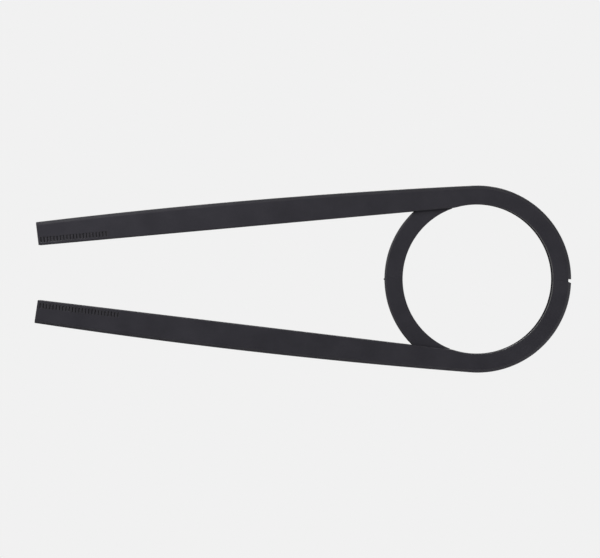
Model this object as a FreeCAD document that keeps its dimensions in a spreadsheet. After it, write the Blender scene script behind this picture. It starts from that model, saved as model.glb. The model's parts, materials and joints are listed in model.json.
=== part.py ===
"""Front part of a bicycle chain case, in millimetres.

Two mouldings, an upper and a lower half, are channels that open towards each other. Each has a long arm for
one run of the chain and half of the ring round the chainring. They meet at the level of the crank axis and
snap together there. X points forward, Y to the left of the bicycle and Z up. The origin is on the crank axis,
in the middle of the width.
"""
import FreeCAD, Part
import math
import os

import Sketcher
from FreeCAD import Placement, Rotation, Vector

# Driving dimensions: name, value and what it sets. Lengths in millimetres, angles in degrees
DIMENSIONS = (
    ("rim_radius", 84.2, "outside of the ring's front"),
    ("rear_rim_radius", 83.5, "outside of the ring's narrow rear arc"),
    ("opening_radius", 67.3, "round opening in the ring"),
    ("arm_length", 390.8, "arm's inner edge, from abreast of the crank axis to the arm's end"),
    ("arm_end_width", 20.9, "arm's width at its end"),
    ("arm_lean", 6.0, "angle of the arm's inner edge"),
    ("edge_inset", 1.5, "line of the arm's inner edge, inside the opening's radius"),
    ("back_radius", 5450.0, "gentle arch of the arm's back"),
    ("edge_blend", 30.0, "curve from the arm's inner edge into the opening"),
    ("case_width", 18.0, "across the arms and the ring's front"),
    ("rear_width", 12.0, "across the rear arc"),
    ("side_wall", 1.8, "side walls"),
    ("crown_wall", 1.8, "wall along the rim and the arm's back"),
    ("step_wall", 1.8, "wall that closes the arm's channel over the rear arc"),
    ("step_ledge", 0.5, "step wall beyond the rear arc's rim"),
    ("crown_round", 3.6, "outer edges of the rim and the arm's back"),
    ("rear_round", 2.0, "outer edges of the rear arc's rim"),
    ("lip_round", 1.0, "outer edges along the opening and the arm's inner edge"),
    ("slot_pitch", 2.93, "from one catch slot to the next"),
    ("slot_width", 1.3, "catch slot, along the arm"),
    ("slot_height", 4.5, "catch slot, across the arm"),
    ("slot_depth", 0.7, "catch slot, into the side wall"),
    ("slot_margin", 2.4, "arm's inner edge to the catch slots"),
    ("slot_inset", 3.4, "arm's end to the middle of the first catch slot"),
    ("upper_slots", 21, "catch slots along the upper arm"),
    ("lower_slots", 25, "catch slots along the lower arm"),
    ("notch_depth", 2.8, "release notch, into the rim"),
    ("notch_upper", 1.0, "release notch above the seam"),
    ("notch_lower", 1.3, "release notch below the seam"),
    ("notch_flare", 1.1, "release notch, wider below at its mouth"),
    ("bead_radius", 0.9, "grip bead on the rear rim"),
    ("bead_proud", 0.7, "grip bead, out of the rear rim"),
    ("bead_drop", 1.2, "grip bead below the seam"),
    ("tongue_inset", 3.2, "opening to the inner side of the snap tongues"),
    ("tongue_width", 8.0, "snap tongue, along the radius"),
    ("tongue_thickness", 1.2, "snap tongue"),
    ("tongue_reach", 9.0, "snap tongue, past the seam"),
    ("tongue_root", 6.0, "snap tongue's root, back from the seam"),
    ("latch_height", 0.5, "latch ridge, out of the tongue"),
    ("latch_length", 2.0, "latch ridge, along the tongue"),
    ("latch_crest", 0.7, "flat top of the latch ridge, along the tongue"),
    ("latch_tip", 1.5, "tongue's tip to the latch ridge"),
    ("snap_clearance", 0.1, "tongue and latch to the half that they snap into"),
)

# Points of a sketch element, as the constraints number them. The origin is the start of the horizontal axis
START, END, CENTRE = range(1, 4)
ORIGIN = (-1, START)
H_AXIS = ORIGIN[0]

TOLERANCE = 1e-6

# Crank axis to the arm's inner edge, square to it
EDGE_OFFSET = "(Sizes.opening_radius - Sizes.edge_inset)"

doc = FreeCAD.newDocument("ChainCase")
sheet = doc.addObject("Spreadsheet::Sheet", "Sizes")
for row, (alias, value, note) in enumerate(DIMENSIONS, start=1):
    sheet.set(f"A{row}", note)
    sheet.set(f"B{row}", str(value))
    sheet.setAlias(f"B{row}", alias)
doc.recompute()


def size(formula):
    """Value of a formula in the sheet's names."""
    return float(sheet.evalExpression(formula))


def plane(body, role):
    """One of the body's own origin planes."""
    return next(feature for feature in body.Origin.OriginFeatures if feature.Role == role)


def add_sketch(body, name, role):
    sketch = body.newObject("Sketcher::SketchObject", name)
    sketch.AttachmentSupport = [(plane(body, role), "")]
    sketch.MapMode = "FlatFace"
    return sketch


def add_line(sketch, start, end):
    return sketch.addGeometry(Part.LineSegment(start, end))


def add_arc(sketch, centre, start, end):
    """Arc from start to end, counterclockwise about its centre."""
    circle = Part.Circle(centre, Vector(0, 0, 1), (start - centre).Length)
    first = math.atan2(start.y - centre.y, start.x - centre.x)
    last = math.atan2(end.y - centre.y, end.x - centre.x)
    return sketch.addGeometry(Part.ArcOfCircle(circle, first, last))


def tie(sketch, kind, *references):
    sketch.addConstraint(Sketcher.Constraint(kind, *references))


def drive(sketch, kind, references, formula):
    """Dimension that follows a formula in the sheet's sizes."""
    value = sketch.evalExpression(formula)
    if kind == "Angle":
        value = math.radians(value)
    index = sketch.addConstraint(Sketcher.Constraint(kind, *references, value))
    sketch.setExpression(f"Constraints[{index}]", formula)


def drive_place(sketch, kind, point, formula):
    """Dimension from the origin to a point on either side of it."""
    if sketch.evalExpression(formula) < 0:
        drive(sketch, kind, (*point, *ORIGIN), f"-({formula})")
    else:
        drive(sketch, kind, (*ORIGIN, *point), formula)


def add_rectangle(sketch, left, right, bottom, top):
    """Rectangle whose four sides are formulas in the sheet's sizes."""
    x0, x1, y0, y1 = (size(formula) for formula in (left, right, bottom, top))
    corners = [Vector(x0, y0), Vector(x1, y0), Vector(x1, y1), Vector(x0, y1)]
    sides = [add_line(sketch, corners[i], corners[(i + 1) % 4]) for i in range(4)]
    for i in range(4):
        tie(sketch, "Coincident", sides[i], END, sides[(i + 1) % 4], START)
    for i, kind in enumerate(("Horizontal", "Vertical", "Horizontal", "Vertical")):
        tie(sketch, kind, sides[i])
    drive_place(sketch, "DistanceX", (sides[0], START), left)
    drive_place(sketch, "DistanceX", (sides[0], END), right)
    drive_place(sketch, "DistanceY", (sides[0], START), bottom)
    drive_place(sketch, "DistanceY", (sides[2], START), top)


def add_polygon(sketch, corners):
    """Polygon whose corners are pairs of formulas in the sheet's sizes."""
    points = [Vector(size(x), size(y)) for x, y in corners]
    count = len(points)
    sides = [add_line(sketch, points[i], points[(i + 1) % count]) for i in range(count)]
    for i, (x, y) in enumerate(corners):
        tie(sketch, "Coincident", sides[i], END, sides[(i + 1) % count], START)
        drive_place(sketch, "DistanceX", (sides[i], START), x)
        drive_place(sketch, "DistanceY", (sides[i], START), y)


def add_rounded_rectangle(sketch, left, right, bottom, top, left_round, right_round):
    """Rectangle with one radius at its left corners and another at its right ones."""
    x0, x1, y0, y1 = (size(formula) for formula in (left, right, bottom, top))
    a, b = size(left_round), size(right_round)
    lines = [
        add_line(sketch, Vector(x0 + a, y0), Vector(x1 - b, y0)),
        add_line(sketch, Vector(x1, y0 + b), Vector(x1, y1 - b)),
        add_line(sketch, Vector(x1 - b, y1), Vector(x0 + a, y1)),
        add_line(sketch, Vector(x0, y1 - a), Vector(x0, y0 + a)),
    ]
    arcs = [
        add_arc(sketch, Vector(x1 - b, y0 + b), Vector(x1 - b, y0), Vector(x1, y0 + b)),
        add_arc(sketch, Vector(x1 - b, y1 - b), Vector(x1, y1 - b), Vector(x1 - b, y1)),
        add_arc(sketch, Vector(x0 + a, y1 - a), Vector(x0 + a, y1), Vector(x0, y1 - a)),
        add_arc(sketch, Vector(x0 + a, y0 + a), Vector(x0, y0 + a), Vector(x0 + a, y0)),
    ]
    for i in range(4):
        tie(sketch, "Tangent", lines[i], END, arcs[i], START)
        tie(sketch, "Tangent", arcs[i], END, lines[(i + 1) % 4], START)
    for i, kind in enumerate(("Horizontal", "Vertical", "Horizontal", "Vertical")):
        tie(sketch, kind, lines[i])
    for i, formula in enumerate((right_round, right_round, left_round, left_round)):
        drive(sketch, "Radius", (arcs[i],), formula)
    drive_place(sketch, "DistanceX", (lines[3], START), left)
    drive_place(sketch, "DistanceX", (lines[1], START), right)
    drive_place(sketch, "DistanceY", (lines[0], START), bottom)
    drive_place(sketch, "DistanceY", (lines[2], START), top)


def add_feature(body, kind, name, sketch, **settings):
    feature = body.newObject(f"PartDesign::{kind}", name)
    feature.Profile = sketch
    for key, value in settings.items():
        setattr(feature, key, value)
    return feature


def both_sides(feature, formula):
    """Takes a pad or pocket half to each side of its sketch, to a whole length."""
    feature.SideType = "Symmetric"
    feature.setExpression("Length", formula)


def fillet(body, name, base, edges, formula):
    rounding = body.newObject("PartDesign::Fillet", name)
    rounding.Base = (base, edges)
    rounding.setExpression("Radius", formula)
    doc.recompute()
    return rounding


def outer_edges(shape, radii, lines):
    """Names of the edges of the two outer faces that are arcs of these radii or lines with these leans."""
    half = size("Sizes.case_width / 2")
    names = []
    for number, edge in enumerate(shape.Edges, start=1):
        if any(abs(abs(vertex.Y) - half) > TOLERANCE for vertex in edge.Vertexes):
            continue
        if isinstance(edge.Curve, Part.Circle):
            wanted = any(abs(edge.Curve.Radius - radius) < TOLERANCE * radius for radius in radii)
        else:
            lean = math.degrees(math.atan2(edge.Curve.Direction.z, edge.Curve.Direction.x)) % 180
            wanted = any(abs(lean - line) < TOLERANCE * line for line in lines)
        if wanted:
            names.append(f"Edge{number}")
    return names


class ArmLayout:
    """Points of the half's side view that its sketches start from, worked out from the driving dimensions."""

    def __init__(self):
        lean = math.radians(size("Sizes.arm_lean"))
        self.along = Vector(math.cos(lean), math.sin(lean))
        self.across = Vector(-math.sin(lean), math.cos(lean))
        self.edge = size(EDGE_OFFSET)
        rim = size("Sizes.rim_radius")
        back = size("Sizes.back_radius")
        opening = size("Sizes.opening_radius")
        blend = size("Sizes.edge_blend")
        self.end_outer = self.point(-size("Sizes.arm_length"), size("Sizes.arm_end_width"))
        # The back's centre lies where its circle touches the rim and passes through the end's outer corner
        reach = self.end_outer.Length
        near = ((back - rim) ** 2 - back**2 + reach**2) / (2 * reach)
        aside = math.sqrt((back - rim) ** 2 - near**2)
        toward = self.end_outer / reach
        self.back_centre = toward * near + Vector(-toward.y, toward.x) * aside
        self.touch = self.back_centre * (-rim / (back - rim))
        inward = (self.back_centre - self.end_outer).normalize()
        fall = size("Sizes.arm_end_width") / -inward.dot(self.across)
        self.end_inner = self.end_outer + inward * fall
        before = math.sqrt((opening + blend) ** 2 - (self.edge + blend) ** 2)
        self.blend_centre = self.point(-before, blend)
        self.blend_start = self.point(-before, 0)
        self.blend_end = self.blend_centre * (opening / (opening + blend))
        self.foot = self.point(0, 0)

    def point(self, forward, above):
        """Point along the arm's inner edge from abreast of the crank axis, and above that edge."""
        return self.along * forward + self.across * (self.edge + above)

    def on_circle(self, radius, above):
        """Point behind the crank where a circle round it is at a height above the inner edge."""
        return self.point(-math.sqrt(radius**2 - (self.edge + above) ** 2), above)


def draw_outline(body, layout):
    """Side view of the arm and the ring's front, above the seam."""
    sketch = add_sketch(body, "Outline", "XZ_Plane")
    rim_end = Vector(size("Sizes.rim_radius"), 0)
    opening_end = Vector(size("Sizes.opening_radius"), 0)
    rim = add_arc(sketch, Vector(), rim_end, layout.touch)
    back = add_arc(sketch, layout.back_centre, layout.touch, layout.end_outer)
    end = add_line(sketch, layout.end_outer, layout.end_inner)
    edge = add_line(sketch, layout.end_inner, layout.blend_start)
    blend = add_arc(sketch, layout.blend_centre, layout.blend_start, layout.blend_end)
    opening = add_arc(sketch, Vector(), opening_end, layout.blend_end)
    seam = add_line(sketch, opening_end, rim_end)
    foot = add_line(sketch, Vector(), layout.foot)
    sketch.toggleConstruction(foot)

    tie(sketch, "Coincident", rim, CENTRE, *ORIGIN)
    tie(sketch, "Coincident", opening, CENTRE, *ORIGIN)
    tie(sketch, "Coincident", foot, START, *ORIGIN)
    tie(sketch, "Tangent", rim, END, back, START)
    tie(sketch, "Coincident", back, END, end, START)
    tie(sketch, "PointOnObject", back, CENTRE, end)
    tie(sketch, "Coincident", end, END, edge, START)
    tie(sketch, "Tangent", edge, END, blend, START)
    tie(sketch, "Tangent", blend, END, opening, END)
    tie(sketch, "Coincident", seam, START, opening, START)
    tie(sketch, "Coincident", seam, END, rim, START)
    tie(sketch, "PointOnObject", seam, START, H_AXIS)
    tie(sketch, "PointOnObject", seam, END, H_AXIS)
    tie(sketch, "PointOnObject", foot, END, edge)
    tie(sketch, "Perpendicular", foot, edge)
    drive(sketch, "Radius", (rim,), "Sizes.rim_radius")
    drive(sketch, "Radius", (back,), "Sizes.back_radius")
    drive(sketch, "Radius", (blend,), "Sizes.edge_blend")
    drive(sketch, "Radius", (opening,), "Sizes.opening_radius")
    drive(sketch, "Angle", (edge,), "Sizes.arm_lean")
    drive(sketch, "Distance", (foot,), EDGE_OFFSET)
    drive(sketch, "Distance", (back, END, foot), "Sizes.arm_length")
    drive(sketch, "Distance", (back, END, edge), "Sizes.arm_end_width")
    return sketch


def draw_channel(body, layout, outline):
    """Side view of the chain's channel. It runs a wall's thickness past every open edge of the half."""
    sketch = add_sketch(body, "Channel", "XZ_Plane")
    past = size("Sizes.crown_wall")
    crown_radius = size("Sizes.rim_radius - Sizes.crown_wall")
    ledge_radius = size("Sizes.rear_rim_radius + Sizes.step_ledge")
    inner_radius = size("Sizes.opening_radius - Sizes.crown_wall")
    crown_low = Vector(math.sqrt(crown_radius**2 - past**2), -past)
    inner_low = Vector(math.sqrt(inner_radius**2 - past**2), -past)
    crown_touch = layout.touch * (crown_radius / layout.touch.Length)
    inward = (layout.back_centre - layout.end_outer).normalize()
    beyond = layout.end_outer + inward * past + Vector(-inward.y, inward.x).normalize() * -past
    end_low = layout.end_inner - layout.along * past - layout.across * past
    ledge_low = layout.on_circle(ledge_radius, -past)
    ledge_high = layout.on_circle(ledge_radius, size("Sizes.step_wall"))
    behind = layout.blend_start.dot(layout.along)
    step_front = layout.point(behind, size("Sizes.step_wall"))
    step_low = layout.along * behind + layout.across * math.sqrt(inner_radius**2 - behind**2)

    crown = add_arc(sketch, Vector(), crown_low, crown_touch)
    back = add_arc(sketch, layout.back_centre, crown_touch, beyond)
    end = add_line(sketch, beyond, end_low)
    mouth = add_line(sketch, end_low, ledge_low)
    ledge = add_arc(sketch, Vector(), ledge_high, ledge_low)
    step = add_line(sketch, ledge_high, step_front)
    front = add_line(sketch, step_front, step_low)
    inner = add_arc(sketch, Vector(), inner_low, step_low)
    seam = add_line(sketch, inner_low, crown_low)
    references = {}
    for number, name in enumerate(("rim", "back", "end", "edge"), start=1):
        sketch.addExternal(outline.Name, f"Edge{number}")
        references[name] = -2 - number

    for arc in (crown, ledge, inner):
        tie(sketch, "Coincident", arc, CENTRE, *ORIGIN)
    tie(sketch, "Coincident", back, CENTRE, references["back"], CENTRE)
    tie(sketch, "Tangent", crown, END, back, START)
    tie(sketch, "Coincident", back, END, end, START)
    tie(sketch, "Coincident", end, END, mouth, START)
    tie(sketch, "Coincident", mouth, END, ledge, END)
    tie(sketch, "Coincident", ledge, START, step, START)
    tie(sketch, "Coincident", step, END, front, START)
    tie(sketch, "Coincident", front, END, inner, END)
    tie(sketch, "Coincident", inner, START, seam, START)
    tie(sketch, "Coincident", seam, END, crown, START)
    tie(sketch, "Parallel", end, references["end"])
    tie(sketch, "Parallel", mouth, references["edge"])
    tie(sketch, "Parallel", step, references["edge"])
    tie(sketch, "Perpendicular", front, references["edge"])
    tie(sketch, "PointOnObject", references["edge"], END, front)
    tie(sketch, "Horizontal", seam)
    drive(sketch, "Radius", (crown,), "Sizes.rim_radius - Sizes.crown_wall")
    drive(sketch, "Radius", (ledge,), "Sizes.rear_rim_radius + Sizes.step_ledge")
    drive(sketch, "Radius", (inner,), "Sizes.opening_radius - Sizes.crown_wall")
    drive(sketch, "Distance", (end, START, references["end"]), "Sizes.crown_wall")
    drive(sketch, "Distance", (mouth, START, references["edge"]), "Sizes.crown_wall")
    drive(sketch, "Distance", (step, START, references["edge"]), "Sizes.step_wall")
    drive_place(sketch, "DistanceY", (seam, START), "-Sizes.crown_wall")
    return sketch


def add_rear_arc(body):
    """Narrow arc that closes the ring behind the chainring, from the seam up into the arm."""
    section = add_sketch(body, "RearSection", "XY_Plane")
    add_rounded_rectangle(
        section,
        "-Sizes.rear_rim_radius",
        "-Sizes.opening_radius",
        "-Sizes.rear_width / 2",
        "Sizes.rear_width / 2",
        "Sizes.rear_round",
        "Sizes.lip_round",
    )
    arc = add_feature(body, "Revolution", "RearArc", section, ReferenceAxis=(section, ["V_Axis"]))
    arc.setExpression("Angle", "90 - Sizes.arm_lean")
    doc.recompute()


def hollow_rear_arc(body):
    section = add_sketch(body, "RearHollowSection", "XY_Plane")
    add_rectangle(
        section,
        "-(Sizes.rear_rim_radius - Sizes.crown_wall)",
        "-(Sizes.opening_radius - Sizes.crown_wall)",
        "-(Sizes.rear_width / 2 - Sizes.side_wall)",
        "Sizes.rear_width / 2 - Sizes.side_wall",
    )
    hollow = add_feature(body, "Groove", "RearHollow", section, ReferenceAxis=(section, ["V_Axis"]))
    hollow.setExpression("Angle", "90 - Sizes.arm_lean")
    doc.recompute()


def cut_catch_slots(body, count):
    """Row of shallow slots by the arm's end, on both sides, that the rear part of the case clicks into."""
    slots = []
    for name, side in (("Right", 1), ("Left", -1)):
        sketch = add_sketch(body, f"{name}Slot", "XZ_Plane")
        sketch.setExpression("AttachmentOffset.Base.z", f"{side} * Sizes.case_width / 2")
        sketch.setExpression("AttachmentOffset.Rotation.Angle", "Sizes.arm_lean")
        middle = "-(Sizes.arm_length - Sizes.slot_inset)"
        add_rectangle(
            sketch,
            f"{middle} - Sizes.slot_width / 2",
            f"{middle} + Sizes.slot_width / 2",
            f"{EDGE_OFFSET} + Sizes.slot_margin",
            f"{EDGE_OFFSET} + Sizes.slot_margin + Sizes.slot_height",
        )
        slot = add_feature(body, "Pocket", f"{name}CatchSlot", sketch, Reversed=side < 0)
        slot.setExpression("Length", "Sizes.slot_depth")
        doc.recompute()
        slots.append(slot)
    row = body.newObject("PartDesign::LinearPattern", "CatchSlots")
    row.Originals = slots
    row.Direction = (slots[0].Profile[0], ["H_Axis"])
    row.setExpression("Occurrences", count)
    row.setExpression("Length", f"({count} - 1) * Sizes.slot_pitch")
    body.Tip = row
    doc.recompute()


def make_half(label, count):
    """Channel of one half, in its own frame with the seam at the bottom."""
    body = doc.addObject("PartDesign::Body", label)
    body.Label = label
    layout = ArmLayout()
    outline = draw_outline(body, layout)
    block = add_feature(body, "Pad", "Block", outline)
    both_sides(block, "Sizes.case_width")
    doc.recompute()
    crown = outer_edges(block.Shape, (size("Sizes.rim_radius"), size("Sizes.back_radius")), ())
    crowned = fillet(body, "CrownRounding", block, crown, "Sizes.crown_round")
    opening = (size("Sizes.opening_radius"), size("Sizes.edge_blend"))
    lips = outer_edges(crowned.Shape, opening, (size("Sizes.arm_lean"),))
    fillet(body, "LipRounding", crowned, lips, "Sizes.lip_round")
    add_rear_arc(body)
    channel = add_feature(body, "Pocket", "ChainChannel", draw_channel(body, layout, outline))
    both_sides(channel, "Sizes.case_width - 2 * Sizes.side_wall")
    doc.recompute()
    hollow_rear_arc(body)
    cut_catch_slots(body, count)
    return body


def snap_walls():
    """Inner face of the side wall at each snap: behind the rim's front and in the rear arc."""
    return (
        (1, "(Sizes.case_width / 2 - Sizes.side_wall)"),
        (-1, "(Sizes.rear_width / 2 - Sizes.side_wall)"),
    )


def add_snap_rectangles(sketch, grow, inner, outer):
    """One rectangle for each of the four snaps. Inner and outer are measured from the wall's inner face."""
    near = f"(Sizes.opening_radius + Sizes.tongue_inset - {grow})"
    far = f"(Sizes.opening_radius + Sizes.tongue_inset + Sizes.tongue_width + {grow})"
    for ahead, wall in snap_walls():
        left, right = (near, far) if ahead > 0 else (f"-{far}", f"-{near}")
        low, high = f"({wall} + {inner})", f"({wall} + {outer})"
        add_rectangle(sketch, left, right, low, high)
        add_rectangle(sketch, left, right, f"-{high}", f"-{low}")


def cut_snap_sockets(body):
    """Blind sockets in the upper half's side walls, for the latch ridges."""
    sketch = add_sketch(body, "SocketSection", "XY_Plane")
    height = "Sizes.tongue_reach - Sizes.latch_tip - Sizes.latch_length - Sizes.snap_clearance"
    sketch.setExpression("AttachmentOffset.Base.z", height)
    add_snap_rectangles(sketch, "Sizes.snap_clearance", "-Sizes.side_wall / 2", "Sizes.latch_height")
    sockets = add_feature(body, "Pocket", "SnapSockets", sketch, Reversed=True)
    sockets.setExpression("Length", "Sizes.latch_length + 2 * Sizes.snap_clearance")
    doc.recompute()


def add_snap_tongues(body):
    """Tongues on the lower half's side walls that reach past the seam, each with a latch ridge by its tip."""
    inner = "-Sizes.snap_clearance - Sizes.tongue_thickness"
    roots = add_sketch(body, "TongueRootSection", "XY_Plane")
    add_snap_rectangles(roots, "0", inner, "Sizes.side_wall / 2")
    root = add_feature(body, "Pad", "TongueRoots", roots)
    root.setExpression("Length", "Sizes.tongue_root")
    doc.recompute()
    section = add_sketch(body, "TongueSection", "XY_Plane")
    add_snap_rectangles(section, "0", inner, "-Sizes.snap_clearance")
    tongues = add_feature(body, "Pad", "SnapTongues", section, Reversed=True)
    tongues.setExpression("Length", "Sizes.tongue_reach")
    doc.recompute()
    tip = "-(Sizes.tongue_reach - Sizes.latch_tip)"
    catch = f"({tip} + Sizes.latch_length)"
    near = "Sizes.opening_radius + Sizes.tongue_inset"
    for ahead, wall in snap_walls():
        ridge = add_sketch(body, "FrontLatchSide" if ahead > 0 else "RearLatchSide", "YZ_Plane")
        inner_end = near if ahead > 0 else f"-({near} + Sizes.tongue_width)"
        ridge.setExpression("AttachmentOffset.Base.z", inner_end)
        face = f"({wall} - Sizes.snap_clearance)"
        for side in ("", "-"):
            corners = (
                (f"{side}({face} - Sizes.tongue_thickness / 2)", tip),
                (f"{side}{face}", tip),
                (f"{side}({face} + Sizes.latch_height)", f"{catch} - Sizes.latch_crest"),
                (f"{side}({face} + Sizes.latch_height)", catch),
                (f"{side}({face} - Sizes.tongue_thickness / 2)", catch),
            )
            add_polygon(ridge, corners)
        latches = add_feature(body, "Pad", "FrontLatches" if ahead > 0 else "RearLatches", ridge)
        latches.setExpression("Length", "Sizes.tongue_width")
        doc.recompute()


def cut_upper_notch(body):
    """Release notch through the rim at the front, as far as it lies in the upper half."""
    sketch = add_sketch(body, "UpperNotchSide", "XZ_Plane")
    add_rectangle(
        sketch,
        "Sizes.rim_radius - Sizes.notch_depth",
        "Sizes.rim_radius + Sizes.crown_wall",
        "-Sizes.crown_wall",
        "Sizes.notch_upper",
    )
    notch = add_feature(body, "Pocket", "UpperNotch", sketch)
    both_sides(notch, "Sizes.case_width + Sizes.crown_wall")
    doc.recompute()


def cut_lower_notch(body):
    """Release notch in the lower half, which flares towards its mouth for a screwdriver's tip."""
    sketch = add_sketch(body, "LowerNotchSide", "XZ_Plane")
    floor = "Sizes.rim_radius - Sizes.notch_depth"
    corners = (
        (floor, "-Sizes.crown_wall"),
        ("Sizes.rim_radius", "-Sizes.crown_wall"),
        ("Sizes.rim_radius", "Sizes.notch_lower + Sizes.notch_flare"),
        (floor, "Sizes.notch_lower"),
    )
    add_polygon(sketch, corners)
    notch = add_feature(body, "Pocket", "LowerNotch", sketch)
    both_sides(notch, "Sizes.case_width + Sizes.crown_wall")
    doc.recompute()


def add_grip_bead(body):
    """Small round bead across the rear rim, beside the seam."""
    sketch = add_sketch(body, "BeadSide", "XZ_Plane")
    across = "-(Sizes.rear_rim_radius + Sizes.bead_proud - Sizes.bead_radius)"
    centre = Vector(size(across), size("Sizes.bead_drop"))
    circle = sketch.addGeometry(Part.Circle(centre, Vector(0, 0, 1), size("Sizes.bead_radius")))
    drive(sketch, "Radius", (circle,), "Sizes.bead_radius")
    drive_place(sketch, "DistanceX", (circle, CENTRE), across)
    drive_place(sketch, "DistanceY", (circle, CENTRE), "Sizes.bead_drop")
    bead = add_feature(body, "Pad", "GripBead", sketch)
    both_sides(bead, "Sizes.rear_width - 2 * Sizes.rear_round")
    doc.recompute()


def check_document(bodies):
    """Stops before anything is written if a feature failed or a half isn't one sound solid."""
    for item in doc.Objects:
        if "Invalid" in item.State or "Error" in item.State:
            raise RuntimeError(f"{item.Label} failed: {item.State}")
    for body in bodies:
        shape = body.Shape
        if shape.isNull() or not shape.isValid() or len(shape.Solids) != 1:
            raise RuntimeError(f"{body.Label} isn't one sound solid")


upper = make_half("upper_half", "Sizes.upper_slots")
cut_upper_notch(upper)
cut_snap_sockets(upper)

lower = make_half("lower_half", "Sizes.lower_slots")
cut_lower_notch(lower)
add_grip_bead(lower)
add_snap_tongues(lower)
# The lower half is drawn as the upper one is, and turned over about the case's long axis
lower.Placement = Placement(Vector(), Rotation(Vector(1, 0, 0), 180))
doc.recompute()

halves = (upper, lower)
check_document(halves)
os.makedirs("parts", exist_ok=True)
for half in halves:
    half.Shape.exportStep(f"parts/{half.Label}.step")
    print(half.Label, round(half.Shape.Volume / 1000, 2), "cm3", half.Shape.BoundBox)
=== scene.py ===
"""Looks of the front part of a bicycle chain case.

The two mouldings are modelled again with all their roundings, and stand for the frame's plain ones. Lengths
are in metres. X points forward, Y to the left of the bicycle and Z up, with the origin on the crank axis.
Both halves are modelled as the upper one lies, with the seam at the bottom, and the lower half is then
turned over.
"""
import json
import math

import bmesh
import bpy
from mathutils import Matrix, Vector


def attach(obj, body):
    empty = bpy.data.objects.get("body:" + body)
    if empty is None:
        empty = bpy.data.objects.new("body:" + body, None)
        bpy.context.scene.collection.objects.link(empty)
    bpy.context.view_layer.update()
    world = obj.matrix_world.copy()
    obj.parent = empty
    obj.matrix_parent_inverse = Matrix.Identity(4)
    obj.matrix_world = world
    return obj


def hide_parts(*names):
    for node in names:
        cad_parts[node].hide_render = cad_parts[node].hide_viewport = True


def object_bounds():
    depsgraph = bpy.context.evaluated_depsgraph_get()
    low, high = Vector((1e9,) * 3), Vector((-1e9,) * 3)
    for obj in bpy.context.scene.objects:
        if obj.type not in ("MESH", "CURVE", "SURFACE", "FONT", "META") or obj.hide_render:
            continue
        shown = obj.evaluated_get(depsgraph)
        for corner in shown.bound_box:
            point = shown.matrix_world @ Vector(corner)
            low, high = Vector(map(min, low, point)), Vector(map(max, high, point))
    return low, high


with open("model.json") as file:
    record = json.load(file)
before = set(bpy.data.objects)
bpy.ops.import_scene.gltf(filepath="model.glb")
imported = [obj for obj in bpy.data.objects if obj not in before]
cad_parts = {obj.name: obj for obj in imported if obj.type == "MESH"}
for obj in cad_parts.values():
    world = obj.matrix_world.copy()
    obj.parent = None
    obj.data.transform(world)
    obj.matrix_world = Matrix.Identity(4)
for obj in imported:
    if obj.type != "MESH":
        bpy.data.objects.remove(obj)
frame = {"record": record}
cad_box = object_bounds()
MOUNTS = {mount["name"]: mount for mount in frame["record"]["mounts"]}

MM = 0.001

# Ring
OPENING_RADIUS = MOUNTS["chainring_opening"]["dims"]["r_mm"] * MM
RIM_RADIUS = 84.2 * MM
REAR_RIM_RADIUS = 83.5 * MM
REAR_WIDTH = 12 * MM

# Arms
CASE_WIDTH = cad_box[1].y - cad_box[0].y
ARM_LENGTH = 390.8 * MM
ARM_END_WIDTH = 20.9 * MM
ARM_LEAN = math.radians(6)
EDGE_INSET = 1.5 * MM
EDGE_OFFSET = OPENING_RADIUS - EDGE_INSET
BACK_RADIUS = 5450 * MM
EDGE_BLEND = 30 * MM

# Walls and roundings
WALL = 1.8 * MM
STEP_LEDGE = 0.5 * MM
CROWN_ROUND = 3.6 * MM
REAR_ROUND = 2 * MM
LIP_ROUND = 1 * MM
CHANNEL_ROUND = CROWN_ROUND - WALL
HOLLOW_ROUND = 0.8 * MM
END_ROUND = 0.4 * MM
SEAM_ROUND = 0.15 * MM

# Catch slots
SLOT_PITCH = 2.93 * MM
SLOT_WIDTH = 1.3 * MM
SLOT_HEIGHT = 4.5 * MM
SLOT_DEPTH = 0.7 * MM
SLOT_MARGIN = 2.4 * MM
SLOT_INSET = 3.4 * MM
SLOT_CHAMFER = 0.25 * MM
UPPER_SLOTS = 21
LOWER_SLOTS = 25

# Release notch and grip bead
NOTCH_DEPTH = 2.8 * MM
NOTCH_UPPER = 1 * MM
NOTCH_LOWER = 1.3 * MM
NOTCH_FLARE = 1.1 * MM
BEAD_RADIUS = 0.9 * MM
BEAD_PROUD = 0.7 * MM
BEAD_DROP = 1.2 * MM
BEAD_END_ROUND = BEAD_RADIUS / 3

# Snap tongues
TONGUE_INSET = 3.2 * MM
TONGUE_WIDTH = 8 * MM
TONGUE_THICKNESS = 1.2 * MM
TONGUE_REACH = 9 * MM
TONGUE_ROOT = 6 * MM
TONGUE_LEAD = TONGUE_THICKNESS / 3
LATCH_HEIGHT = 0.5 * MM
LATCH_LENGTH = 2 * MM
LATCH_CREST = 0.7 * MM
LATCH_TIP = 1.5 * MM
SNAP_CLEARANCE = 0.1 * MM

# Worn edges, partly painted highlight: lighter grey on tight roundings, most on the opening's front lip
ROUNDING_TILT = 0.02
FULLY_RUBBED_BREADTH = 0.3 * MM
LEAST_RUBBED_AREA = 0.2 * MM**2
# Painted highlight: the opening's lip is coloured lighter towards the front, where light catches it
LIP_PAINTED_HIGHLIGHT = 1.7
FORK_TILT = 0.1
SHELTERED_SHARE = 0.2

# Fineness of round stretches
ARC_STEP = math.radians(1.5)
RUN_STEP = 20 * MM
CROWN_STEPS = 8
CHANNEL_STEPS = 6
REAR_STEPS = 6
LIP_STEPS = 5
END_STEPS = 3
SEAM_STEPS = 2
BEAD_SIDES = 24
BEAD_END_STEPS = 3
BEAD_END_ANGLE = math.radians(60)
SMOOTH_ANGLE = math.radians(35)

# How near points count as one place, and how near they are merged
NEAR = 0.01 * MM
MERGE_DISTANCE = NEAR / 10

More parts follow.
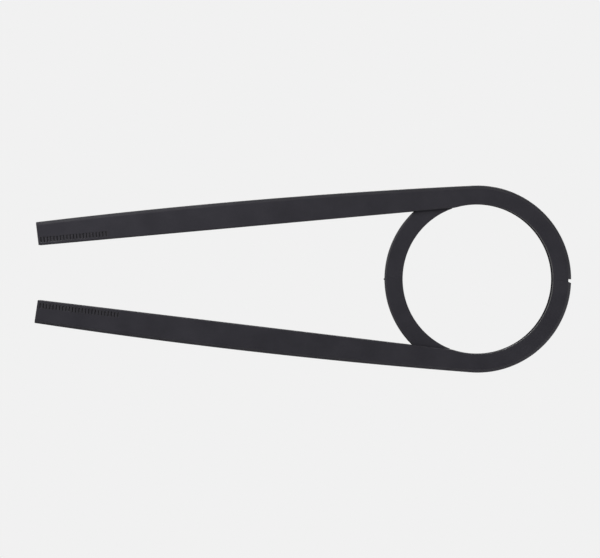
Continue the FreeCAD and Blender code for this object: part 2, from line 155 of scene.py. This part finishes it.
# Case plastic
CHARCOAL_DARK = (0.0245, 0.0236, 0.0286, 1)
CHARCOAL_LIGHT = (0.0345, 0.0332, 0.0400, 1)
DARK_BELOW = 0.35
LIGHT_ABOVE = 0.65
# Grey of the tight edges: partly wearing, partly a painted highlight on the roundings
EDGE_GREY_AND_HIGHLIGHT = (0.125, 0.123, 0.122, 1)
# Painted shade: colour of the slot floors and walls, darker for the shade that falls in them
SLOT_PAINTED_SHADE = (0.0155, 0.0149, 0.0181, 1)
LEAST_ROUGHNESS = 0.52
MOST_ROUGHNESS = 0.68
RUBBED_SMOOTHING = 0.3
GLOSS = 0.06
GRAIN_HEIGHT = 0.08 * MM
GRAIN_STRENGTH = 0.8
RUBBED_GRAIN_LOSS = 1.2

# Photo frame, in pixels, and how the case lies in it
PHOTO_WIDTH = 600
PHOTO_HEIGHT = 558
RING_PIXEL = Vector((477.8, 279.05))
PIXEL = 0.898 * MM
TILT = math.radians(0.84)

# Studio
CAMERA_DISTANCE = 2.5
SENSOR_WIDTH_MM = 36
PALE_GREY = (0.88, 0.88, 0.88, 1)
FILL_STRENGTH = 0.06
FLOOR_LEVEL = -0.7
FLOOR_RADIUS = 1.6
FLOOR_SIDES = 96
FLOOR_ROUGHNESS = 0.9
FADE_RADIUS = 0.5
CASE_MIDDLE = (cad_box[0] + cad_box[1]) / 2

# Directions of the case and of its arm
CRANK_AXIS = Vector((0, 0, 0))
FORWARD = Vector((1, 0, 0))
LEFT = Vector((0, 1, 0))
UP = Vector((0, 0, 1))
ALONG_ARM = Vector((math.cos(ARM_LEAN), 0, math.sin(ARM_LEAN)))
ACROSS_ARM = Vector((-math.sin(ARM_LEAN), 0, math.cos(ARM_LEAN)))


def arm_point(forward, above):
    """Point of the side view, so far along the arm from abreast of the crank and above its inner edge."""
    return ALONG_ARM * forward + ACROSS_ARM * (EDGE_OFFSET + above)


def arm_circle_point(radius, above):
    """Point behind the crank where a circle round it is at a height above the arm's inner edge."""
    return arm_point(-math.sqrt(radius**2 - (EDGE_OFFSET + above) ** 2), above)


# Corners of the side view. The back's circle touches the rim and passes through the end's outer corner
END_OUTER = arm_point(-ARM_LENGTH, ARM_END_WIDTH)
REACH = END_OUTER.length
TOWARD = END_OUTER / REACH
NEAR_LEG = ((BACK_RADIUS - RIM_RADIUS) ** 2 - BACK_RADIUS**2 + REACH**2) / (2 * REACH)
SIDE_LEG = math.sqrt((BACK_RADIUS - RIM_RADIUS) ** 2 - NEAR_LEG**2)
BACK_CENTRE = TOWARD * NEAR_LEG + Vector((-TOWARD.z, 0, TOWARD.x)) * SIDE_LEG
TOUCH = BACK_CENTRE * (-RIM_RADIUS / (BACK_RADIUS - RIM_RADIUS))
END_INWARD = (BACK_CENTRE - END_OUTER).normalized()
END_BACKWARD = Vector((END_INWARD.z, 0, -END_INWARD.x))
END_INNER = END_OUTER + END_INWARD * (ARM_END_WIDTH / -END_INWARD.dot(ACROSS_ARM))
BLEND_BACK = -math.sqrt((OPENING_RADIUS + EDGE_BLEND) ** 2 - (EDGE_OFFSET + EDGE_BLEND) ** 2)
BLEND_CENTRE = arm_point(BLEND_BACK, EDGE_BLEND)
BLEND_START = arm_point(BLEND_BACK, 0)
BLEND_END = BLEND_CENTRE * (OPENING_RADIUS / (OPENING_RADIUS + EDGE_BLEND))


class Outline:
    """Outline drawn from point to point, then filled and taken through to the other side."""

    def __init__(self, name, start):
        bpy.ops.object.select_all(action="DESELECT")
        bpy.ops.mesh.primitive_plane_add(size=MM, location=start)
        bpy.ops.object.transform_apply()
        self.piece = bpy.context.object
        self.piece.name = name
        self.at = start
        bpy.ops.object.mode_set(mode="EDIT")
        bpy.ops.mesh.merge(type="CENTER")

    def line(self, end):
        bpy.ops.mesh.extrude_region_move(TRANSFORM_OT_translate={"value": end - self.at})
        self.at = end

    def arc(self, centre, end):
        """Arc in the side view, the short way round its centre."""
        first, last = self.at - centre, end - centre
        angle = math.atan2(first.x * last.z - first.z * last.x, first.x * last.x + first.z * last.z)
        steps = math.ceil(max(abs(angle) / ARC_STEP, abs(angle) * first.length / RUN_STEP))
        bpy.ops.mesh.spin(steps=steps, angle=angle, center=centre, axis=LEFT)
        self.at = end

    def solid(self, through):
        bpy.ops.mesh.select_all(action="SELECT")
        bpy.ops.mesh.edge_face_add()
        bpy.ops.mesh.extrude_region_move(TRANSFORM_OT_translate={"value": through})
        close_mesh()
        return self.piece


def close_mesh():
    """Merges doubles, turns every face outwards and leaves edit mode."""
    bpy.ops.mesh.select_all(action="SELECT")
    bpy.ops.mesh.remove_doubles(threshold=MERGE_DISTANCE)
    bpy.ops.mesh.normals_make_consistent(inside=False)
    bpy.ops.object.mode_set(mode="OBJECT")


def make_active(piece):
    bpy.ops.object.select_all(action="DESELECT")
    piece.select_set(True)
    bpy.context.view_layer.objects.active = piece


def apply_modifier(piece, kind, **settings):
    make_active(piece)
    modifier = piece.modifiers.new(kind.lower(), kind)
    for key, value in settings.items():
        setattr(modifier, key, value)
    bpy.ops.object.modifier_apply(modifier=modifier.name)


def mirror_across(piece):
    """Adds the piece's mirror image on the other side of the case."""
    apply_modifier(piece, "MIRROR", use_axis=(False, True, False))


def combine(piece, tool, operation):
    """Joins a tool to a piece, or cuts its form away."""
    apply_modifier(piece, "BOOLEAN", object=tool, operation=operation, solver="EXACT")
    bpy.data.objects.remove(tool)


def round_edges(piece, wanted, radius, steps, across=False):
    """Rounds the edges whose two ends both pass a test. Edges across the width count only if asked for."""
    make_active(piece)
    bpy.ops.object.mode_set(mode="EDIT")
    bpy.ops.mesh.select_mode(type="EDGE")
    bpy.ops.mesh.select_all(action="DESELECT")
    mesh = bmesh.from_edit_mesh(piece.data)
    for edge in mesh.edges:
        first, last = (vertex.co for vertex in edge.verts)
        level = abs(first.y - last.y) < NEAR
        edge.select_set((level or across) and wanted(first) and wanted(last))
    bmesh.update_edit_mesh(piece.data)
    bpy.ops.mesh.bevel(offset=radius, segments=steps, affect="EDGES")
    bpy.ops.mesh.select_mode(type="VERT")
    close_mesh()


def on_circle(point, centre, radius):
    return abs(math.hypot(point.x - centre.x, point.z - centre.z) - radius) < NEAR


def on_crown(point):
    """True on the rim's and the arm back's outer line."""
    if point.x > TOUCH.x + NEAR:
        return on_circle(point, CRANK_AXIS, RIM_RADIUS)
    return on_circle(point, BACK_CENTRE, BACK_RADIUS)


def on_lip(point):
    """True on the line of the arm's inner edge, its blend and the opening."""
    if point.x < BLEND_START.x + NEAR:
        return abs(point.dot(ACROSS_ARM) - EDGE_OFFSET) < NEAR
    return on_circle(point, BLEND_CENTRE, EDGE_BLEND) or on_circle(point, CRANK_AXIS, OPENING_RADIUS)


def on_end(point):
    return abs((point - END_OUTER).dot(END_BACKWARD)) < NEAR


def on_seam(point):
    return abs(point.z) < NEAR


def on_channel_roof(point):
    on_rim = on_circle(point, CRANK_AXIS, RIM_RADIUS - WALL)
    return on_rim or on_circle(point, BACK_CENTRE, BACK_RADIUS - WALL)


def model_block():
    """Arm and front half-ring, still solid, with the outer roundings."""
    side = LEFT * (-CASE_WIDTH / 2)
    outline = Outline("block", FORWARD * RIM_RADIUS + side)
    outline.arc(CRANK_AXIS + side, TOUCH + side)
    outline.arc(BACK_CENTRE + side, END_OUTER + side)
    outline.line(END_INNER + side)
    outline.line(BLEND_START + side)
    outline.arc(BLEND_CENTRE + side, BLEND_END + side)
    outline.arc(CRANK_AXIS + side, FORWARD * OPENING_RADIUS + side)
    block = outline.solid(LEFT * CASE_WIDTH)
    round_edges(block, on_crown, CROWN_ROUND, CROWN_STEPS)
    round_edges(block, on_lip, LIP_ROUND, LIP_STEPS)
    round_edges(block, on_end, END_ROUND, END_STEPS, across=True)
    round_edges(block, on_seam, SEAM_ROUND, SEAM_STEPS, across=True)
    return block


def model_channel_cutter():
    """Room for the chain. It runs a wall's thickness past every open edge of the half."""
    half = CASE_WIDTH / 2 - WALL
    side = LEFT * -half
    crown_radius = RIM_RADIUS - WALL
    inner_radius = OPENING_RADIUS - WALL
    ledge_radius = REAR_RIM_RADIUS + STEP_LEDGE
    crown_low = FORWARD * math.sqrt(crown_radius**2 - WALL**2) - UP * WALL
    inner_low = FORWARD * math.sqrt(inner_radius**2 - WALL**2) - UP * WALL
    step_low = ALONG_ARM * BLEND_BACK + ACROSS_ARM * math.sqrt(inner_radius**2 - BLEND_BACK**2)
    past_end = END_OUTER + END_INWARD * WALL
    outline = Outline("channel", crown_low + side)
    outline.arc(CRANK_AXIS + side, TOUCH * (crown_radius / RIM_RADIUS) + side)
    outline.arc(BACK_CENTRE + side, past_end + side)
    outline.line(past_end + END_BACKWARD * WALL + side)
    outline.line(END_INNER + END_BACKWARD * WALL + END_INWARD * WALL + side)
    outline.line(arm_circle_point(ledge_radius, -WALL) + side)
    outline.arc(CRANK_AXIS + side, arm_circle_point(ledge_radius, WALL) + side)
    outline.line(arm_point(BLEND_BACK, WALL) + side)
    outline.line(step_low + side)
    outline.arc(CRANK_AXIS + side, inner_low + side)
    channel = outline.solid(LEFT * 2 * half)
    round_edges(channel, on_channel_roof, CHANNEL_ROUND, CHANNEL_STEPS)
    return channel


def round_corners(piece, wanted, radius, steps):
    """Rounds the corners of a flat section that pass a test, in edit mode."""
    bpy.ops.mesh.select_all(action="DESELECT")
    mesh = bmesh.from_edit_mesh(piece.data)
    for vertex in mesh.verts:
        vertex.select_set(wanted(vertex.co))
    bmesh.update_edit_mesh(piece.data)
    bpy.ops.mesh.bevel(offset=radius, segments=steps, affect="VERTICES")


def sweep_rear_arc(name, inner, outer, width, inner_round, outer_round, sweep, past):
    """Rounded section swept up from the seam round the crank axis. It can start a little past the seam."""
    bpy.ops.object.select_all(action="DESELECT")
    middle = -(inner + outer) / 2
    bpy.ops.mesh.primitive_plane_add(size=1, location=FORWARD * middle)
    piece = bpy.context.object
    piece.name = name
    piece.scale = (outer - inner, width, 1)
    bpy.ops.object.transform_apply()
    bpy.ops.object.mode_set(mode="EDIT")
    round_corners(piece, lambda corner: corner.x < middle, outer_round, REAR_STEPS)
    round_corners(piece, lambda corner: abs(corner.x + inner) < NEAR, inner_round, LIP_STEPS)
    bpy.ops.mesh.select_all(action="SELECT")
    bpy.ops.mesh.delete(type="ONLY_FACE")
    bpy.ops.mesh.select_all(action="SELECT")
    if past:
        bpy.ops.transform.translate(value=UP * -past)
        bpy.ops.mesh.extrude_region_move(TRANSFORM_OT_translate={"value": UP * past})
    bpy.ops.mesh.spin(steps=math.ceil(sweep / ARC_STEP), angle=-sweep, center=CRANK_AXIS, axis=LEFT)
    bpy.ops.mesh.select_all(action="SELECT")
    bpy.ops.mesh.fill_holes(sides=0)
    close_mesh()
    return piece


def model_rear_arc():
    """Narrow arc behind the chainring, from the seam to where the opening's circle runs into the arm."""
    sweep = math.atan2(BLEND_END.z, -BLEND_END.x)
    inner, outer = OPENING_RADIUS, REAR_RIM_RADIUS
    arc = sweep_rear_arc("rear_arc", inner, outer, REAR_WIDTH, LIP_ROUND, REAR_ROUND, sweep, 0)
    round_edges(arc, on_seam, SEAM_ROUND, SEAM_STEPS, across=True)
    return arc


def model_rear_hollow_cutter():
    sweep = math.pi / 2 - ARM_LEAN
    inner, outer = OPENING_RADIUS - WALL, REAR_RIM_RADIUS - WALL
    width = REAR_WIDTH - 2 * WALL
    return sweep_rear_arc("rear_hollow", inner, outer, width, HOLLOW_ROUND, HOLLOW_ROUND, sweep, WALL)


def model_channel_half():
    """What the halves have in common: a channel along the arm and round the ring's front, and a rear arc."""
    half = model_block()
    combine(half, model_rear_arc(), "UNION")
    combine(half, model_channel_cutter(), "DIFFERENCE")
    combine(half, model_rear_hollow_cutter(), "DIFFERENCE")
    return half


def copy_piece(piece, name):
    make_active(piece)
    bpy.ops.object.duplicate()
    bpy.context.object.name = name
    return bpy.context.object


def widen(amount, width, height):
    """Grows the selected slot mouth by an amount on each side of its width and height."""
    value = (1 + 2 * amount / width, 1 + 2 * amount / height, 1)
    bpy.ops.transform.resize(value=value, center_override=CRANK_AXIS)


def mark_painted_slot_shade(cutter):
    """Marks the faces that cut a slot's floor and walls, below its chamfer, before the slot is placed: there
    painted shade darkens the slots.
    """
    painted_slot_shade = cutter.data.attributes.new("painted_slot_shade", "FLOAT", "FACE")
    for face, mark in zip(cutter.data.polygons, painted_slot_shade.data):
        mark.value = face.center.z < -SLOT_CHAMFER


def model_slot_cutter(count):
    """Row of catch slots with chamfered mouths, by the arm's end and on both sides."""
    bpy.ops.object.select_all(action="DESELECT")
    bpy.ops.mesh.primitive_plane_add(size=1)
    cutter = bpy.context.object
    cutter.name = "catch_slots"
    cutter.scale = (SLOT_WIDTH, SLOT_HEIGHT, 1)
    cutter.location = UP * -SLOT_DEPTH
    bpy.ops.object.transform_apply()
    bpy.ops.object.mode_set(mode="EDIT")
    bpy.ops.mesh.extrude_region_move(TRANSFORM_OT_translate={"value": UP * (SLOT_DEPTH - SLOT_CHAMFER)})
    bpy.ops.mesh.extrude_region_move(TRANSFORM_OT_translate={"value": UP * SLOT_CHAMFER})
    widen(SLOT_CHAMFER, SLOT_WIDTH, SLOT_HEIGHT)
    bpy.ops.mesh.extrude_region_move(TRANSFORM_OT_translate={"value": UP * SLOT_CHAMFER})
    close_mesh()
    mark_painted_slot_shade(cutter)
    middle = arm_point(SLOT_INSET - ARM_LENGTH, SLOT_MARGIN + SLOT_HEIGHT / 2) - LEFT * (CASE_WIDTH / 2)
    turned = Matrix((ALONG_ARM, ACROSS_ARM, -LEFT)).transposed().to_4x4()
    cutter.matrix_world = Matrix.Translation(middle) @ turned
    bpy.ops.object.transform_apply()
    mirror_across(cutter)
    apply_modifier(
        cutter,
        "ARRAY",
        count=count,
        use_relative_offset=False,
        use_constant_offset=True,
        constant_offset_displace=ALONG_ARM * SLOT_PITCH,
    )
    bpy.ops.object.mode_set(mode="EDIT")
    close_mesh()
    return cutter


def model_notch_cutter(top, mouth_top):
    """Release notch through the rim at the front. Its mouth can be higher than its floor."""
    side = LEFT * -CASE_WIDTH
    floor = RIM_RADIUS - NOTCH_DEPTH
    mouth = RIM_RADIUS + WALL
    slope = (mouth_top - top) * (mouth - floor) / NOTCH_DEPTH
    outline = Outline("notch", FORWARD * floor - UP * WALL + side)
    outline.line(FORWARD * mouth - UP * WALL + side)
    outline.line(FORWARD * mouth + UP * (top + slope) + side)
    outline.line(FORWARD * floor + UP * top + side)
    return outline.solid(LEFT * 2 * CASE_WIDTH)


def snap_places():
    """Rearmost point of each snap along X, with its side wall's inner face along Y."""
    near = OPENING_RADIUS + TONGUE_INSET
    return (near, CASE_WIDTH / 2 - WALL), (-near - TONGUE_WIDTH, REAR_WIDTH / 2 - WALL)


def model_snap_pair(name, rearmost, corners, width):
    """Section with corners across the case and up, taken forward by its width, and its mirror image."""
    points = [FORWARD * rearmost + LEFT * across + UP * height for across, height in corners]
    outline = Outline(name, points[0])
    for point in points[1:]:
        outline.line(point)
    pair = outline.solid(FORWARD * width)
    mirror_across(pair)
    bpy.ops.object.mode_set(mode="EDIT")
    close_mesh()
    return pair


def model_snap_tongues(rearmost, wall):
    """Pair of tongues past the seam, with a ramped latch ridge by each tip. They hang down from the half."""
    face = wall - SNAP_CLEARANCE
    inner = face - TONGUE_THICKNESS
    tip = LATCH_TIP - TONGUE_REACH
    catch = tip + LATCH_LENGTH
    corners = (
        (inner, TONGUE_ROOT),
        (wall + WALL / 2, TONGUE_ROOT),
        (wall + WALL / 2, NEAR),
        (face, NEAR),
        (face, catch),
        (face + LATCH_HEIGHT, catch),
        (face + LATCH_HEIGHT, catch - LATCH_CREST),
        (face, tip),
        (face, TONGUE_LEAD - TONGUE_REACH),
        (face - TONGUE_LEAD, -TONGUE_REACH),
        (inner, -TONGUE_REACH),
    )
    return model_snap_pair("snap_tongues", rearmost, corners, TONGUE_WIDTH)


def model_snap_sockets(rearmost, wall):
    """Pair of blind sockets for the latch ridges, in the side walls' inner faces."""
    low = TONGUE_REACH - LATCH_TIP - LATCH_LENGTH - SNAP_CLEARANCE
    high = TONGUE_REACH - LATCH_TIP + SNAP_CLEARANCE
    corners = (
        (wall - WALL / 2, low),
        (wall + LATCH_HEIGHT, low),
        (wall + LATCH_HEIGHT, high - LATCH_CREST),
        (wall, high),
        (wall - WALL / 2, high),
    )
    width = TONGUE_WIDTH + 2 * SNAP_CLEARANCE
    return model_snap_pair("snap_sockets", rearmost - SNAP_CLEARANCE, corners, width)


def model_grip_bead():
    """Small round bead across the rear rim, beside the seam."""
    bpy.ops.object.select_all(action="DESELECT")
    bpy.ops.mesh.primitive_cylinder_add(
        vertices=BEAD_SIDES,
        radius=BEAD_RADIUS,
        depth=REAR_WIDTH - 2 * REAR_ROUND,
        location=FORWARD * -(REAR_RIM_RADIUS + BEAD_PROUD - BEAD_RADIUS) + UP * BEAD_DROP,
        rotation=(math.pi / 2, 0, 0),
    )
    bpy.ops.object.transform_apply()
    bead = bpy.context.object
    bead.name = "grip_bead"
    apply_modifier(
        bead,
        "BEVEL",
        width=BEAD_END_ROUND,
        segments=BEAD_END_STEPS,
        limit_method="ANGLE",
        angle_limit=BEAD_END_ANGLE,
    )
    return bead


def shade(half):
    """Cleans the mesh, and shades flat faces flat and roundings round."""
    make_active(half)
    bpy.ops.object.mode_set(mode="EDIT")
    bpy.ops.mesh.select_all(action="SELECT")
    bpy.ops.mesh.dissolve_degenerate(threshold=MERGE_DISTANCE)
    close_mesh()
    bpy.ops.object.shade_smooth_by_angle(angle=SMOOTH_ANGLE)
    apply_modifier(half, "WEIGHTED_NORMAL", keep_sharp=True)


def wear_and_highlight_share(face):
    """How much of the edge grey a face gets by its place, partly as wearing and partly as painted highlight.

    The opening's lip gets the most towards the front, as a painted highlight. Edges that face the fork
    between the arms are sheltered and get less.
    """
    if math.hypot(face.center.x, face.center.z) < OPENING_RADIUS + LIP_ROUND:
        return max(SHELTERED_SHARE, LIP_PAINTED_HIGHLIGHT * face.center.x / OPENING_RADIUS)
    toward_seam = -face.normal.z if face.center.z > 0 else face.normal.z
    return SHELTERED_SHARE if toward_seam > FORK_TILT else 1


def mark_wear_and_highlight(half):
    """Marks each face's edge grey, partly wearing and partly painted highlight: tight roundings most, and
    flats, the seam and slivers not at all.
    """
    wear_and_highlight = half.data.attributes.new("wear_and_highlight", "FLOAT", "FACE")
    for face, mark in zip(half.data.polygons, wear_and_highlight.data):
        corners = [half.data.vertices[index].co for index in face.vertices]
        length = max((first - last).length for first, last in zip(corners, corners[1:] + corners[:1]))
        tilted = ROUNDING_TILT < abs(face.normal.y) < 1 - ROUNDING_TILT
        open_to_touch = max(abs(corner.z) for corner in corners) > SEAM_ROUND + NEAR
        if tilted and open_to_touch and face.area > LEAST_RUBBED_AREA:
            tightness = min(1, (FULLY_RUBBED_BREADTH * length / face.area) ** 2)
            mark.value = tightness * wear_and_highlight_share(face)


def finish_half(half, node, finish):
    half.data.materials.clear()
    half.data.materials.append(finish)
    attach(half, "root")
    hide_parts(node)


def model_halves(finish):
    upper = model_channel_half()
    lower = copy_piece(upper, "lower_moulding")
    upper.name = "upper_moulding"

    combine(upper, model_slot_cutter(UPPER_SLOTS), "DIFFERENCE")
    combine(upper, model_notch_cutter(NOTCH_UPPER, NOTCH_UPPER), "DIFFERENCE")
    combine(lower, model_slot_cutter(LOWER_SLOTS), "DIFFERENCE")
    combine(lower, model_notch_cutter(NOTCH_LOWER, NOTCH_LOWER + NOTCH_FLARE), "DIFFERENCE")
    combine(lower, model_grip_bead(), "UNION")
    for rearmost, wall in snap_places():
        combine(upper, model_snap_sockets(rearmost, wall), "DIFFERENCE")
        combine(lower, model_snap_tongues(rearmost, wall), "UNION")

    make_active(lower)
    lower.rotation_euler.x = math.pi
    bpy.ops.object.transform_apply()
    for half in (upper, lower):
        shade(half)
        mark_wear_and_highlight(half)
    finish_half(upper, "upper_half", finish)
    finish_half(lower, "lower_half", finish)


def add_node(tree, kind, label, **settings):
    node = tree.nodes.new(kind)
    node.label = label
    for key, value in settings.items():
        setattr(node, key, value)
    return node


def add_noise(tree, place, label, scale, detail):
    """Noise whose scale counts its swells per metre."""
    noise = add_node(tree, "ShaderNodeTexNoise", label)
    noise.inputs["Scale"].default_value = scale
    noise.inputs["Detail"].default_value = detail
    tree.links.new(place, noise.inputs["Vector"])
    return noise.outputs["Fac"]


def add_wear_and_highlight(tree, place):
    """How worn and painted-highlit the surface is: by the marks of its edges, and unevenly."""
    wear_and_highlight = add_node(tree, "ShaderNodeAttribute", "wear of the edge", attribute_name="wear_and_highlight")
    worn_and_highlit = add_node(tree, "ShaderNodeMath", "rubbed here and there", operation="MULTIPLY")
    tree.links.new(wear_and_highlight.outputs["Fac"], worn_and_highlit.inputs[0])
    tree.links.new(add_noise(tree, place, "rubbing", scale=70, detail=5), worn_and_highlit.inputs[1])
    return worn_and_highlit.outputs["Value"]


def add_colour(tree, place, grain, worn_and_highlit):
    """Charcoal with clouds and grain, greyer on tight edges, partly wearing and partly a painted highlight
    that is strongest on the opening's front lip, and darker in the slots by painted shade.
    """
    clouds = add_noise(tree, place, "clouding from the mould's flow", scale=45, detail=4)
    mottle = add_node(tree, "ShaderNodeMix", "clouds and grain")
    tree.links.new(clouds, mottle.inputs["A"])
    tree.links.new(grain, mottle.inputs["B"])
    charcoal = add_node(tree, "ShaderNodeValToRGB", "charcoal")
    dark, light = charcoal.color_ramp.elements
    dark.position = DARK_BELOW
    dark.color = CHARCOAL_DARK
    light.position = LIGHT_ABOVE
    light.color = CHARCOAL_LIGHT
    tree.links.new(mottle.outputs["Result"], charcoal.inputs["Fac"])
    # Greyer on the marked edges: partly wearing, partly a painted highlight, most on the opening's front
    # lip.
    greyed = add_node(tree, "ShaderNodeMixRGB", "greyer where rubbed")
    greyed.inputs["Color2"].default_value = EDGE_GREY_AND_HIGHLIGHT
    tree.links.new(worn_and_highlit, greyed.inputs["Fac"])
    tree.links.new(charcoal.outputs["Color"], greyed.inputs["Color1"])
    # Painted shade: the slots are coloured darker, for the shade that falls in them.
    painted_slot_shade = add_node(tree, "ShaderNodeAttribute", "inside a slot", attribute_name="painted_slot_shade")
    shaded = add_node(tree, "ShaderNodeMixRGB", "darker in the slots")
    shaded.inputs["Color2"].default_value = SLOT_PAINTED_SHADE
    tree.links.new(painted_slot_shade.outputs["Fac"], shaded.inputs["Fac"])
    tree.links.new(greyed.outputs["Color"], shaded.inputs["Color1"])
    return shaded.outputs["Color"]


def add_roughness(tree, place, worn_and_highlit):
    """Matt and less matt patches, smoother where rubbed."""
    matt = add_node(tree, "ShaderNodeMapRange", "matt and less matt patches")
    matt.inputs["To Min"].default_value = LEAST_ROUGHNESS
    matt.inputs["To Max"].default_value = MOST_ROUGHNESS
    tree.links.new(add_noise(tree, place, "patches", scale=110, detail=6), matt.inputs["Value"])
    smoother = add_node(tree, "ShaderNodeMath", "smoother where rubbed", operation="MULTIPLY_ADD")
    smoother.inputs[1].default_value = -RUBBED_SMOOTHING
    tree.links.new(worn_and_highlit, smoother.inputs[0])
    tree.links.new(matt.outputs["Result"], smoother.inputs[2])
    return smoother.outputs["Value"]


def add_grain_bump(tree, grain, worn_and_highlit):
    """Fine grain of the mould, worn down where rubbed."""
    strength = add_node(tree, "ShaderNodeMath", "grain left", operation="MULTIPLY_ADD", use_clamp=True)
    strength.inputs[1].default_value = -RUBBED_GRAIN_LOSS
    strength.inputs[2].default_value = GRAIN_STRENGTH
    tree.links.new(worn_and_highlit, strength.inputs[0])
    bump = add_node(tree, "ShaderNodeBump", "grain height")
    bump.inputs["Distance"].default_value = GRAIN_HEIGHT
    tree.links.new(strength.outputs["Value"], bump.inputs["Strength"])
    tree.links.new(grain, bump.inputs["Height"])
    return bump.outputs["Normal"]


def make_case_plastic():
    """Black moulded plastic with a fine matt grain, smoother and greyer on its tight edges, partly from
    wearing and partly as a painted highlight most on the opening's front lip, with painted shade in the
    slots.
    """
    material = bpy.data.materials.new("case_plastic")
    material.use_nodes = True
    tree = material.node_tree
    shader = tree.nodes["Principled BSDF"]
    shader.inputs["Specular IOR Level"].default_value = GLOSS
    place = add_node(tree, "ShaderNodeTexCoord", "place on the case").outputs["Object"]
    grain = add_noise(tree, place, "eroded grain", scale=2200, detail=3)
    worn_and_highlit = add_wear_and_highlight(tree, place)
    tree.links.new(add_colour(tree, place, grain, worn_and_highlit), shader.inputs["Base Color"])
    tree.links.new(add_roughness(tree, place, worn_and_highlit), shader.inputs["Roughness"])
    tree.links.new(add_grain_bump(tree, grain, worn_and_highlit), shader.inputs["Normal"])
    return material


def add_camera():
    """Camera square to the case, turned a little so that the case's front hangs lower, as in the photo."""
    data = bpy.data.cameras.new("camera")
    camera = bpy.data.objects.new("camera", data)
    bpy.context.scene.collection.objects.link(camera)
    right = Vector((math.cos(TILT), 0, math.sin(TILT)))
    above = Vector((-math.sin(TILT), 0, math.cos(TILT)))
    aside = (PHOTO_WIDTH / 2 - RING_PIXEL.x) * PIXEL
    higher = (RING_PIXEL.y - PHOTO_HEIGHT / 2) * PIXEL
    place = right * aside + above * higher - LEFT * (CASE_WIDTH / 2 + CAMERA_DISTANCE)
    turned = Matrix((right, above, -LEFT)).transposed().to_4x4()
    camera.matrix_world = Matrix.Translation(place) @ turned
    data.sensor_width = SENSOR_WIDTH_MM
    data.lens = data.sensor_width * CAMERA_DISTANCE / (PHOTO_WIDTH * PIXEL)
    bpy.context.scene.camera = camera


def add_seen(tree):
    """Factor that is 1 for what the camera sees, by itself or through a reflection or glass."""
    rays = add_node(tree, "ShaderNodeLightPath", "which ray")
    either = add_node(tree, "ShaderNodeMath", "camera or reflection", operation="MAXIMUM")
    tree.links.new(rays.outputs["Is Camera Ray"], either.inputs[0])
    tree.links.new(rays.outputs["Is Glossy Ray"], either.inputs[1])
    seen = add_node(tree, "ShaderNodeMath", "or through glass", operation="MAXIMUM")
    tree.links.new(either.outputs["Value"], seen.inputs[0])
    tree.links.new(rays.outputs["Is Transmission Ray"], seen.inputs[1])
    return seen.outputs["Value"]


def add_world():
    """Pale studio: the camera and reflections see a plain pale surround, and the case gets a soft fill."""
    world = bpy.data.worlds.new("studio")
    bpy.context.scene.world = world
    world.use_nodes = True
    tree = world.node_tree
    tree.nodes.clear()
    surround = add_node(tree, "ShaderNodeBackground", "pale surround")
    surround.inputs["Color"].default_value = PALE_GREY
    fill = add_node(tree, "ShaderNodeBackground", "soft fill")
    fill.inputs["Strength"].default_value = FILL_STRENGTH
    mix = add_node(tree, "ShaderNodeMixShader", "surround or fill")
    tree.links.new(add_seen(tree), mix.inputs["Fac"])
    tree.links.new(fill.outputs["Background"], mix.inputs[1])
    tree.links.new(surround.outputs["Background"], mix.inputs[2])
    output = add_node(tree, "ShaderNodeOutputWorld", "world")
    tree.links.new(mix.outputs["Shader"], output.inputs["Surface"])


def add_softbox(name, place, width, power):
    """Square lamp that points at the case and isn't seen itself."""
    data = bpy.data.lights.new(name, "AREA")
    data.size = width
    data.energy = power
    lamp = bpy.data.objects.new(name, data)
    bpy.context.scene.collection.objects.link(lamp)
    lamp.location = place
    lamp.visible_camera = False
    lamp.rotation_euler = (CASE_MIDDLE - lamp.location).to_track_quat("-Z", "Y").to_euler()


def add_lamps():
    add_softbox("key", Vector((-0.7, -0.4, 0.45)), width=0.4, power=5.4)
    add_softbox("rim_light", Vector((0.8, -0.4, -0.3)), width=0.4, power=4.5)
    add_softbox("front_fill", Vector((0.05, -1.1, 0.65)), width=0.5, power=4.8)
    add_softbox("back_fill", Vector((0.2, 1.6, 0.9)), width=1.2, power=36)


def make_pale_floor():
    """Plain pale floor that goes over into the surround towards its rim."""
    material = bpy.data.materials.new("pale_floor")
    material.use_nodes = True
    tree = material.node_tree
    shader = tree.nodes["Principled BSDF"]
    shader.inputs["Base Color"].default_value = PALE_GREY
    shader.inputs["Roughness"].default_value = FLOOR_ROUGHNESS
    place = add_node(tree, "ShaderNodeTexCoord", "place on the floor").outputs["Object"]
    reach = add_node(tree, "ShaderNodeVectorMath", "distance from the middle", operation="LENGTH")
    tree.links.new(place, reach.inputs[0])
    fade = add_node(tree, "ShaderNodeMapRange", "towards the rim", interpolation_type="SMOOTHSTEP")
    fade.inputs["From Min"].default_value = FADE_RADIUS
    fade.inputs["From Max"].default_value = FLOOR_RADIUS
    tree.links.new(reach.outputs["Value"], fade.inputs["Value"])
    share = add_node(tree, "ShaderNodeMath", "share of the surround", operation="MULTIPLY")
    tree.links.new(fade.outputs["Result"], share.inputs[0])
    tree.links.new(add_seen(tree), share.inputs[1])
    surround = add_node(tree, "ShaderNodeEmission", "pale surround")
    surround.inputs["Color"].default_value = PALE_GREY
    mix = add_node(tree, "ShaderNodeMixShader", "floor or surround")
    tree.links.new(share.outputs["Value"], mix.inputs["Fac"])
    tree.links.new(shader.outputs["BSDF"], mix.inputs[1])
    tree.links.new(surround.outputs["Emission"], mix.inputs[2])
    tree.links.new(mix.outputs["Shader"], tree.nodes["Material Output"].inputs["Surface"])
    return material


def add_floor():
    bpy.ops.object.select_all(action="DESELECT")
    bpy.ops.mesh.primitive_circle_add(
        vertices=FLOOR_SIDES,
        radius=FLOOR_RADIUS,
        fill_type="NGON",
        location=Vector((CASE_MIDDLE.x, 0, FLOOR_LEVEL)),
    )
    floor = bpy.context.object
    floor.name = "floor"
    floor.data.materials.append(make_pale_floor())


model_halves(make_case_plastic())
add_camera()
add_world()
add_lamps()
add_floor()
bpy.context.scene.view_settings.view_transform = "Standard"
